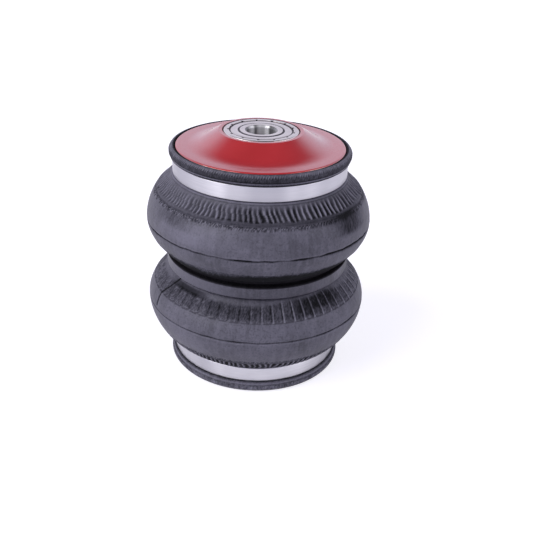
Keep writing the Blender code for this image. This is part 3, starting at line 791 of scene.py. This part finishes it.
class Skin:
    """The outer skin of one half of the bellows, as (row, column) arrays: rows from the lip to the waist,
    columns round. The functions below add to its inward depth and to its tone, where light and shade are
    painted along with random flecks: 0 is dark, 0.6 is plain rubber and 1 is pale. Its zones are the lip,
    the shoulder from the band to the crown, the slope from the crown to the waist, and the waist itself."""

    def __init__(self, upper, seed):
        rows = profile_rows()
        self.upper, self.seed = upper, seed
        self.angle = np.arange(COLUMNS) * math.tau / COLUMNS
        self.turn = self.angle[None, :]
        self.degrees = np.degrees(self.turn)
        self.radius, self.height = carried_round([row[:2] for row in rows], COLUMNS)
        zone = np.array([row[2] for row in rows])[:, None]
        self.lip, self.shoulder, self.slope, self.below_crown = zone == 0, zone == 1, zone == 2, zone >= 2
        self.above_crown = self.height - CROWN_FROM_MIDDLE
        self.crown = np.abs(self.above_crown)
        self.inward = np.zeros_like(self.radius)
        self.tone_and_painted_light = np.full_like(self.radius, 0.6)

        # Every random value is drawn here, in this order
        draw = np.random.default_rng(seed)
        self.pleat_jitter = np.append(draw.normal(0, 0.6, PLEATS), 0.0)
        self.pleat_strength = np.append(draw.uniform(0.5, 1.0, PLEATS), 0.9)
        self.pleat_crest = np.append(draw.uniform(0.3, 1.0, PLEATS), 0.6)
        self.pleat_reach = np.append(draw.uniform(-0.0004, 0.0007, PLEATS), 0.0)
        self.flecks = draw.random(self.radius.shape)
        speck = draw.random(self.radius.shape) - 0.5
        speck = speck + np.roll(speck, 1, 0) + np.roll(speck, 1, 1) + np.roll(speck, (1, 1), (0, 1))
        self.speck = speck / 2
        self.line_strength = np.append(draw.uniform(0.6, 1.15, WAIST_LINES), 0.9)

    def wobble(self, waves, shift):
        return smooth_noise(COLUMNS, waves, self.seed + shift)[None, :]

    def across(self, angle):
        """Distance round the skin from an angle in degrees."""
        return (self.degrees - angle) * math.pi / 180 * self.radius


def add_pleats(skin):
    """Pleats on the shoulder under the band, with a second row of them at the left. Their valleys are
    painted dark as shade and their crests pale as highlights.
    """
    crown, degrees, flecks = skin.crown, skin.degrees, skin.flecks
    around = skin.angle + 0.14 * np.sin(skin.angle - math.radians(200))
    cell = around * PLEATS / math.tau % PLEATS
    jitter, strength, crest, reach = (
        np.interp(cell, np.arange(PLEATS + 1), drawn)[None, :]
        for drawn in (skin.pleat_jitter, skin.pleat_strength, skin.pleat_crest, skin.pleat_reach)
    )
    lean = PLEAT_LEAN * (crown - 0.0270) * skin.wobble(range(3, 9), 1)
    bend = 0.9 * np.sin((crown - 0.0225) * PLEAT_LEAN + 6.0 * skin.wobble(range(4, 14), 7))
    left = np.clip(np.cos(skin.turn - math.radians(228)), 0, 1) ** 2
    second_row = 2.7 * left / (1 + np.exp((0.0262 - crown) / 0.0003))
    wave = 0.5 + 0.5 * np.cos(PLEATS * around[None, :] + jitter + lean + bend + second_row)
    # How dark the painted shade in the valleys is and how bright the painted highlights on the crests, by
    # angle
    if skin.upper:
        end, fade_in, settled = 0.0223, 0.0042, 0.10
        marks = [(0, 0.6), (170, 0.45), (215, 0.42), (240, 0.56)]
        valley_shade = along(degrees, *marks, (266, 1.12), (300, 1.2), (325, 1.0), (345, 0.5))
        marks = [(0, 0.5), (200, 0.8), (245, 0.9), (266, 0.35)]
        glint = along(degrees, *marks, (280, 1.0), (300, 1.9), (322, 1.2), (338, 0.4))
        narrow = along(degrees, (0, 4.5), (272, 4.5), (298, 2.9), (320, 3.6), (335, 4.5))
    else:
        end, fade_in, settled = 0.0210, 0.0008, 0.22
        valley_shade = 0.78 + 0.34 * np.cos(skin.turn - math.radians(304))
        glint, narrow = 1.0, 4.5
    pleats = skin.shoulder * window(crown, end + reach, PLEATS_TOP, 0.0007, fade_in)
    valley = pleats * valley_shade * strength * np.clip(1.45 - 1.9 * wave + 0.5 * (flecks - 0.5), 0, 1) ** 0.7
    ridge = pleats * glint * crest * np.clip(1 - narrow * (1 - wave), 0, 1) * (0.5 + 1.0 * flecks)
    skin.inward += PLEAT_DEPTH * pleats * strength * (1 - wave) - 0.00015 * ridge
    skin.tone_and_painted_light -= 0.62 * valley + pleats * (valley_shade - 0.5) * settled
    skin.tone_and_painted_light += 0.62 * ridge


def shade_upper_shoulder(skin):
    """The upper shoulder is hollow behind its pleats. Its tone is painted darker as shade under the band
    towards the right, below the pleats all round, and in two places lower down."""
    crown, degrees, shoulder = skin.crown, skin.degrees, skin.shoulder
    skin.inward += SHOULDER_HOLLOW * shoulder * window(crown, 0.0215, 0.0314, 0.0050, 0.0012)
    dusk = along(degrees, (0, 0.1), (180, 0.0), (238, 0.0), (272, 0.08), (325, 0.10), (345, 0.03))
    skin.tone_and_painted_light -= shoulder * dusk * window(crown, 0.0270, 0.0340, 0.0040, 0.0005)
    gutter = [(0, 0.10), (195, 0.12), (225, 0.15), (265, 0.30), (305, 0.36), (325, 0.22), (345, 0.10)]
    skin.tone_and_painted_light -= shoulder * along(degrees, *gutter) * window(crown, 0.0209, 0.0236, 0.0004, 0.0008)
    low_right = peak(degrees - 312, 15)
    skin.tone_and_painted_light -= shoulder * 0.16 * low_right * window(crown, 0.0160, 0.0205, 0.0030, 0.0005)
    low_left = peak(degrees - 225, 13) * (0.7 + 0.6 * skin.flecks)
    skin.tone_and_painted_light -= shoulder * 0.28 * low_left * window(crown, 0.0095, 0.0190, 0.0040, 0.0020)


def add_ring_groove(skin):
    """Ring groove at the pleats' end, painted dark as shade, and the fretted ring next to it, flecked and
    darker on the whole.
    """
    wobble = 0.00022 * skin.wobble(range(5, 60), 2)
    groove = skin.shoulder * peak(skin.crown - RING_GROOVE + wobble, 0.00050)
    skin.inward += RING_GROOVE_DEPTH * groove
    skin.tone_and_painted_light -= 0.34 * groove
    fretted = skin.shoulder * window(skin.crown, 0.0176, 0.0205, 0.0014, 0.0005)
    skin.tone_and_painted_light += fretted * (0.74 * skin.flecks - 0.56)
    skin.inward += 0.00016 * fretted * skin.flecks


def add_neck(skin):
    """Pale collar and dark hollow between the band and the pleats, both painted; the hollow's dark is shade.
    """
    collar = skin.shoulder * peak(skin.crown - NECK_COLLAR, 0.00035)
    skin.tone_and_painted_light += (0.22 if skin.upper else 0.25) * collar
    hollow = skin.shoulder * peak(skin.crown - NECK_HOLLOW, 0.00030)
    skin.tone_and_painted_light -= (0.22 if skin.upper else 0.45) * hollow
    skin.inward += 0.00020 * hollow


def add_parting_line(skin):
    """Parting line round the crown, deeper in some places than others and painted dark as shade, with a
    pale edge over it painted as a highlight.
    """
    wobble = 0.00030 * skin.wobble(range(4, 60), 3)
    depth = 0.75 + 0.55 * skin.wobble(range(3, 30), 4) + 0.55 * peak(skin.degrees - 322, 18)
    width = (0.00030 if skin.upper else 0.00024) + 0.00030 * np.clip(depth, 0, 1.6)
    parting = peak(skin.above_crown + wobble, width) * np.clip(depth, 0.4, 1.3)
    skin.inward += PARTING_DEPTH * parting
    skin.tone_and_painted_light -= (0.80 if skin.upper else 0.55) * np.clip(parting, 0, 1) * (0.7 + 0.6 * skin.flecks)
    over = peak(skin.above_crown - 0.0010 + wobble, 0.00045) * np.clip(depth, 0.0, 1.0)
    skin.tone_and_painted_light += 0.16 * over
    skin.inward -= 0.00012 * over


def add_waist_lines(skin):
    """Thin moulded lines on the slope next to the girdle ring, stronger in some places than others. The
    lines are painted pale to the right and darker to the left, with a painted shadow beside each, on a
    field painted dark as shade, mottled at random, that starts at a low step with a broken line of painted
    shade at its edge. The lower half also has painted shade at the left near the ring."""
    crown, degrees, slope = skin.crown, skin.degrees, skin.slope
    phase = (skin.turn * WAIST_LINES / math.tau + 0.24) % 1.0 - 0.5
    keen = 0.36 + 0.56 * np.cos(skin.turn - math.radians(316)) + 0.30 * skin.wobble(range(2, 9), 6)
    keen = np.clip(keen, 0, 1)
    pale = np.clip((degrees - 262) / 16, -1, 1) * np.where(degrees > 262, 1.0, 0.22)
    line = peak(phase, 0.075) * (0.18 + 0.82 * keen)
    shade = peak(phase + 0.12, 0.07) * (0.3 + 0.7 * keen)
    line_height = 0.00060
    if skin.upper:
        line, shade, line_height = line * 0.15, shade * 0.1, 0.0002
    field_end = [(0, 0.0225), (276, 0.0225), (288, 0.0245), (304, 0.0242), (316, 0.0249), (330, 0.0225)]
    field = slope * window(crown, 0.0125, along(degrees, *field_end), 0.0003, 0.0026)
    patch = np.interp(skin.angle * WAIST_LINES / math.tau, np.arange(WAIST_LINES + 1), skin.line_strength)
    amount = [(0, 0.12), (190, 0.16), (225, 0.22), (250, 0.33), (280, 0.40)]
    amount += [(300, 0.44), (318, 0.36), (326, 0.26), (334, 0.16), (360, 0.10)]
    gloom = np.clip((crown - 0.0120) / 0.0025, 0, 1) * patch[None, :] * along(degrees, *amount)
    gloom += 0.26 * peak(degrees - 313, 11) * np.clip((crown - 0.0160) / 0.0015, 0, 1)
    skin.inward += field * (0.00022 - line_height * line * pale + 0.00010 * shade)
    mottle = 0.16 * skin.speck + 0.30 * (skin.flecks - 0.5)
    skin.tone_and_painted_light += field * (-gloom + 0.62 * line * pale - 0.30 * shade + mottle)
    if not skin.upper:
        lee = np.exp(-(((degrees - 226) / 14) ** 4)) * window(crown, 0.0200, 0.0238, 0.0010, 0.0006)
        skin.tone_and_painted_light -= 0.42 * slope * lee
    skin.inward -= 0.00015 * slope * peak(crown - WAIST_STEP, 0.00030)
    broken = 0.35 + 0.65 * (np.abs(phase) > 0.13)
    skin.tone_and_painted_light -= 0.30 * slope * peak(crown - WAIST_EDGE, 0.00034) * broken


def darken_waist(skin):
    """Painted shade deep in the waist, mostly above the girdle ring."""
    late = 0.0040 * peak(skin.degrees - 247, 13)
    ragged = 0.0008 * skin.wobble(range(8, 60), 9) + 0.0030 * skin.speck
    dark = skin.below_crown * np.clip((skin.crown - 0.0106 - late + ragged) / 0.0050, 0, 1)
    skin.tone_and_painted_light -= dark * (0.50 if skin.upper else 0.05)


def add_ply_waves(skin):
    """Hand-laid plies leave slight waves."""
    body = window(skin.crown, -1.0, 0.022, 1.0, 0.006) * ~skin.lip
    skin.inward += 0.00010 * body * (1 + skin.wobble(range(2, 11), 5))


def add_sheen_and_dark_patch(skin):
    """The shoulder is painted paler towards the left, as sheen. The upper one is darker in a mottled patch at
    the right.
    """
    left_sheen = peak(skin.degrees - 236, 16) * window(skin.above_crown, 0.0, 0.0190, 0.006, 0.004)
    skin.tone_and_painted_light += (0.17 if skin.upper else 0.06) * skin.shoulder * left_sheen
    if skin.upper:
        dark_patch = peak(skin.degrees - 323, 10) * window(skin.above_crown, 0.0065, 0.0225, 0.004, 0.002)
        skin.tone_and_painted_light -= 0.40 * skin.shoulder * dark_patch * (0.5 + 1.0 * skin.flecks)


def add_splice(skin):
    """Ply splice on the lower half, from the girdle ring down to the crown at the left, its groove painted
    dark as shade.
    """
    off = skin.across(along(skin.crown[:, :1], *SPLICE_PATH))
    seam = skin.slope * (skin.crown > 0.003) * peak(off, 0.00070)
    skin.radius = skin.radius - SPLICE_DEPTH * seam
    skin.tone_and_painted_light -= 0.70 * seam


def add_vent_marks(skin):
    """Two vent marks on the upper shoulder, their dimples painted dark as shade."""
    for angle, from_crown in VENT_MARKS:
        spot = skin.shoulder * peak(skin.across(angle), 0.0007) * peak(skin.crown - from_crown, 0.0006)
        skin.radius = skin.radius - VENT_DEPTH * spot
        skin.tone_and_painted_light -= 0.60 * spot


def add_lip(skin):
    """Cut cord ends show as short dashes round the lip's upper half, painted pale and dark as highlight and
    shade, and a ply edge stands out at its foot in painted lines of highlight and shade. The lip's upper half
    is painted darker as shade. What is behind the lip or under the band is painted dark as shade."""
    depth = FREE_HEIGHT / 2 - skin.height
    outside = skin.lip * (skin.radius > 0.0596)
    dashes = outside * window(depth, 0.0005, 0.0026, 0.0004, 0.0006)
    weave = np.sin(CORD_ENDS * skin.turn + depth * 1500)
    fade = 0.60 + 0.40 * skin.wobble(range(2, 20), 8)
    skin.radius = skin.radius + dashes * 0.00012 * weave * fade
    ply_depths = [0.0, 0.0046, 0.0052, 0.0056, 0.0060, 0.0066, 0.0069, 0.0079, 0.0090]
    if skin.upper:
        shade, front = 0.30, 0.12 * peak(skin.degrees - 268, 32)
        ply_tones = [0.0, 0.0, -0.50, -0.35, 0.26, 0.20, -0.45, -0.50, -0.50]
    else:
        shade, front = 0.12, -0.05
        ply_tones = [0.05, 0.05, -0.22, -0.10, 0.12, 0.16, 0.10, -0.45, -0.50]
    skin.tone_and_painted_light -= outside * shade * window(depth, 0.0008, 0.0052, 0.0012, 0.0003)
    skin.tone_and_painted_light += outside * (0.30 * (skin.flecks - 0.5) - front)
    if not skin.upper:
        skin.tone_and_painted_light += outside * (depth < 0.0052) * 0.45 * skin.speck
    skin.tone_and_painted_light += dashes * fade * (0.60 * np.clip(1.6 * weave - 0.6, 0, 1) - 0.16 * np.clip(-weave, 0, 1))
    skin.tone_and_painted_light += outside * np.interp(depth, ply_depths, ply_tones)
    behind = skin.lip & (skin.radius < 0.0601) & (depth < 0.006)
    under_band = skin.lip & (skin.radius < 0.0596) & (depth > 0.007)
    skin.tone_and_painted_light = np.where(behind | under_band, 0.05, skin.tone_and_painted_light)


def make_convolution(name, node_name, side, seed):
    """One convolution of the bellows, lip and all. side is 1 above the waist and -1 below."""
    skin = Skin(side > 0, seed)
    add_pleats(skin)
    if skin.upper:
        shade_upper_shoulder(skin)
    add_ring_groove(skin)
    add_neck(skin)
    add_parting_line(skin)
    add_waist_lines(skin)
    darken_waist(skin)
    add_ply_waves(skin)
    skin.radius = skin.radius - np.where(skin.lip, 0.0, skin.inward)
    add_sheen_and_dark_patch(skin)
    if skin.upper:
        add_vent_marks(skin)
    else:
        add_splice(skin)
    add_lip(skin)

    inner_radius, inner_height = carried_round(inner_rows(), COLUMNS)
    radius = np.vstack([skin.radius, inner_radius])
    height = np.vstack([skin.height, inner_height])
    # The inner skin is painted darker, as shade.
    tone_and_painted_light = np.vstack([np.clip(skin.tone_and_painted_light, 0, 1), np.full_like(inner_radius, 0.3)])
    piece = grid_mesh(name, radius, FREE_HEIGHT / 2 + side * height, 50.0, tone_and_painted_light)
    dress(piece, (rubber, waist_painted_shade) if skin.upper else (rubber,), "bellows_rubber", None, node_name)
    # Deep in the upper waist the faces are painted near-black as shade.
    if skin.upper:
        for face in piece.data.polygons:
            reach, turned, level = polar(face)
            below = FREE_HEIGHT / 2 + CROWN_FROM_MIDDLE - level
            dark_from = along(turned, (225, 0.0195), (290, 0.0195), (308, 0.0170), (330, 0.0160))
            face.material_index = int(below > dark_from and reach > WAIST_RADIUS - 0.001)
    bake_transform(piece)


# Pieces

make_top_plate()
make_band(
    "upper_crimp_band_rolled",
    "upper_crimp_band",
    "upper_end",
    low=FREE_HEIGHT - BAND_FROM_FACE - BAND_HEIGHT,
    sheen=0.32,
    swing=0.17,
    glints=((242, 6, 0.20), (247, 4, 0.22), (260, 6, 0.07), (291, 5, 0.19), (316, 9, -0.24)),
)
make_band(
    "lower_crimp_band_rolled",
    "lower_crimp_band",
    "lower_end",
    low=BAND_FROM_FACE,
    sheen=0.45,
    swing=0.02,
    glints=((233, 7, -0.14), (247, 4, 0.09), (305, 12, 0.20)),
)
make_girdle_ring()
make_outer_ring()
make_inner_ring()
make_shields()
make_convolution("bellows_upper_moulded", "bellows_upper_convolution", 1, 11)
make_convolution("bellows_lower_moulded", "bellows_lower_convolution", -1, 23)

for node_name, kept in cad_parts.items():
    if node_name == "lower_plate":
        look = red
    elif node_name == "bearing_cage":
        look = cage_plastic
    elif "seal" in node_name:
        look = seal_rubber
    elif "ball" in node_name:
        look = steel
    else:
        continue
    kept.data.materials.clear()
    kept.data.materials.append(look)


# Studio


def soft_sun(name, source, strength):
    """A very broad, soft light that comes from the source direction."""
    data = bpy.data.lights.new(name, "SUN")
    data.energy = strength
    data.angle = math.radians(SUN_SPREAD)
    lamp = bpy.data.objects.new(name, data)
    bpy.context.scene.collection.objects.link(lamp)
    lamp.rotation_euler = Vector(source).to_track_quat("Z", "Y").to_euler()


def make_floor():
    """A pale floor that the camera sees nearly white, with the object's shadow on it."""
    mesh = bpy.data.meshes.new("studio_floor")
    bm = bmesh.new()
    bmesh.ops.create_grid(bm, x_segments=1, y_segments=1, size=FLOOR_REACH)
    bm.to_mesh(mesh)
    bm.free()
    floor = bpy.data.objects.new("studio_floor", mesh)
    bpy.context.scene.collection.objects.link(floor)
    material, tree, shader = new_material("studio_floor_white")
    rays = tree.nodes.new("ShaderNodeLightPath").outputs
    paint = mix_colour(tree, rays["Is Camera Ray"], (0.86, 0.85, 0.88, 1), (0.52, 0.50, 0.60, 1))
    tree.links.new(paint, shader.inputs["Base Color"])
    shader.inputs["Roughness"].default_value = 0.9
    shader.inputs["Specular IOR Level"].default_value = 0.1
    mirrored = maths(tree, "MAXIMUM", rays["Is Glossy Ray"], rays["Is Transmission Ray"])
    for_camera = remap(tree, rays["Is Camera Ray"], 0.0, 1.0, 0.0, 0.70)
    strength = maths(tree, "MAXIMUM", for_camera, remap(tree, mirrored, 0.0, 1.0, 0.0, 0.2))
    glow = node(tree, "ShaderNodeEmission", Color=(1, 1, 1, 1), Strength=strength)
    both = tree.nodes.new("ShaderNodeAddShader")
    tree.links.new(shader.outputs[0], both.inputs[0])
    tree.links.new(glow.outputs[0], both.inputs[1])
    tree.links.new(both.outputs[0], tree.nodes["Material Output"].inputs["Surface"])
    mesh.materials.append(material)


def make_world():
    """A pale backdrop that is bright low down and dimmer overhead, as round a table in a studio."""
    world = bpy.data.worlds.new("studio_world")
    world.use_nodes = True
    bpy.context.scene.world = world
    tree = world.node_tree
    background = tree.nodes["Background"]
    rays = tree.nodes.new("ShaderNodeLightPath").outputs
    tint = mix_colour(tree, rays["Is Camera Ray"], (0.85, 0.84, 1.0, 1.0), (1.0, 1.0, 1.0, 1.0))
    tree.links.new(tint, background.inputs["Color"])
    where = tree.nodes.new("ShaderNodeTexCoord").outputs["Generated"]
    direction = node(tree, "ShaderNodeSeparateXYZ", Vector=where).outputs
    # The pale backdrop reaches higher at the sides than behind, and highest at the left
    left = remap(tree, direction["X"], 0.0, -1.0, 0.0, 0.20)
    right = remap(tree, direction["X"], 0.0, 1.0, 0.0, 0.10)
    level = maths(tree, "SUBTRACT", direction["Z"], maths(tree, "ADD", left, right))
    seen = remap(tree, level, 0.40, 0.66, 1.0, 0.05)
    ambient = node(tree, "ShaderNodeMix", Factor=rays["Is Glossy Ray"], A=0.42, B=seen).outputs["Result"]
    strength = maths(tree, "MAXIMUM", ambient, rays["Is Camera Ray"])
    tree.links.new(strength, background.inputs["Strength"])


def make_camera():
    """The photograph's view, from a fit to it. The lens is set a little longer than the fitted 52.2 mm."""
    data = bpy.data.cameras.new("camera")
    data.sensor_width = SENSOR
    data.lens = LENS
    data.clip_start, data.clip_end = 0.01, 50.0
    camera = bpy.data.objects.new("camera", data)
    bpy.context.scene.collection.objects.link(camera)
    camera.matrix_world = (
        Matrix.Translation(CAMERA_PLACE)
        @ Matrix.Rotation(math.pi / 2 - math.radians(CAMERA_PITCH), 4, "X")
        @ Matrix.Rotation(math.radians(CAMERA_ROLL), 4, "Z")
    )
    bpy.context.scene.camera = camera


make_floor()
make_world()
make_camera()
soft_sun("key_left", (-0.9, -0.5, 0.85), 2.1)
soft_sun("fill_right", (0.95, -0.25, 0.7), 0.8)

bpy.context.scene.view_settings.view_transform = "Standard"
